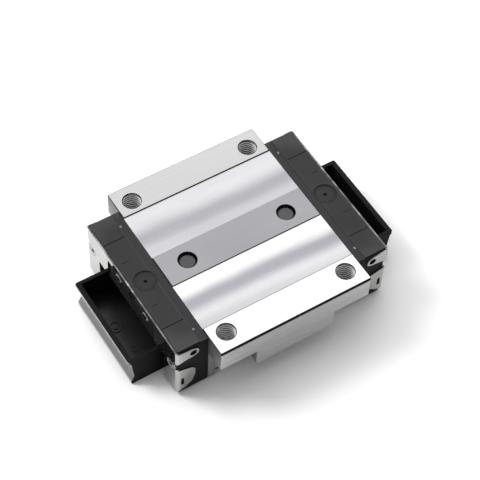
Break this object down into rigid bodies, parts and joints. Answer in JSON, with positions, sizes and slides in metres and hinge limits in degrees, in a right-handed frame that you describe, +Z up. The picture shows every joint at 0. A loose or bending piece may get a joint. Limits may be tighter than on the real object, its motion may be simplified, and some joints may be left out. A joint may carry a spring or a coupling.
{
  "type": "linear guide carriage",
  "caption": "Flanged wide-type linear guide carriage with four recirculating ball rows, black end caps with steel end plates, on a removable plastic mounting rail.",
  "frame": {"origin": "centre of the base plane on which the mounting rail stands, below the middle of the carriage", "axes": "+X along the rail, +Y across the flange, +Z up out of the mounting face"},
  "size_m": [0.141, 0.1, 0.0345],
  "materials": {
    "block_steel": "ground and precision-finished bearing steel, satin",
    "stainless": "bright stainless sheet, rolled finish",
    "ball_steel": "polished ball",
    "screw_steel": "black oxide socket screw",
    "cap_plastic": "charcoal moulded engineering plastic, fine matte texture",
    "rail_plastic": "black moulded plastic, semi-gloss",
    "guide_plastic": "grey moulded acetal",
    "return_plate_plastic": "light grey moulded plastic",
    "plug_plastic": "dark grey moulded plug",
    "seal_rubber": "nitrile rubber, matt"
  },
  "bodies": {
    "carriage": {"carriage_block": "block_steel", "hole_plug_front": "plug_plastic", "hole_plug_rear": "plug_plastic", "ball_row_upper_left": "ball_steel", "ball_row_lower_left": "ball_steel", "ball_row_upper_right": "ball_steel", "ball_row_lower_right": "ball_steel", "ball_retainer_left": "guide_plastic", "ball_retainer_right": "guide_plastic", "return_guide_front_left": "guide_plastic", "return_guide_front_right": "guide_plastic", "return_guide_rear_left": "guide_plastic", "return_guide_rear_right": "guide_plastic", "return_plate_front": "return_plate_plastic", "return_plate_rear": "return_plate_plastic", "side_seal_left": "seal_rubber", "side_seal_right": "seal_rubber", "end_cap_front": "cap_plastic", "end_plate_front": "stainless", "end_seal_front": "seal_rubber", "grease_port_screw_front": "screw_steel", "plate_screws_front": "screw_steel", "cap_screws_front": "screw_steel", "end_cap_rear": "cap_plastic", "end_plate_rear": "stainless", "end_seal_rear": "seal_rubber", "grease_port_screw_rear": "screw_steel", "plate_screws_rear": "screw_steel", "cap_screws_rear": "screw_steel"},
    "rail": {"mounting_rail": "rail_plastic"}
  },
  "joints": [
    {"name": "rail_slide", "type": "slide", "parent": "carriage", "child": "rail", "axis": [1, 0, 0], "range_m": [-0.126, 0.126]}
  ]
}
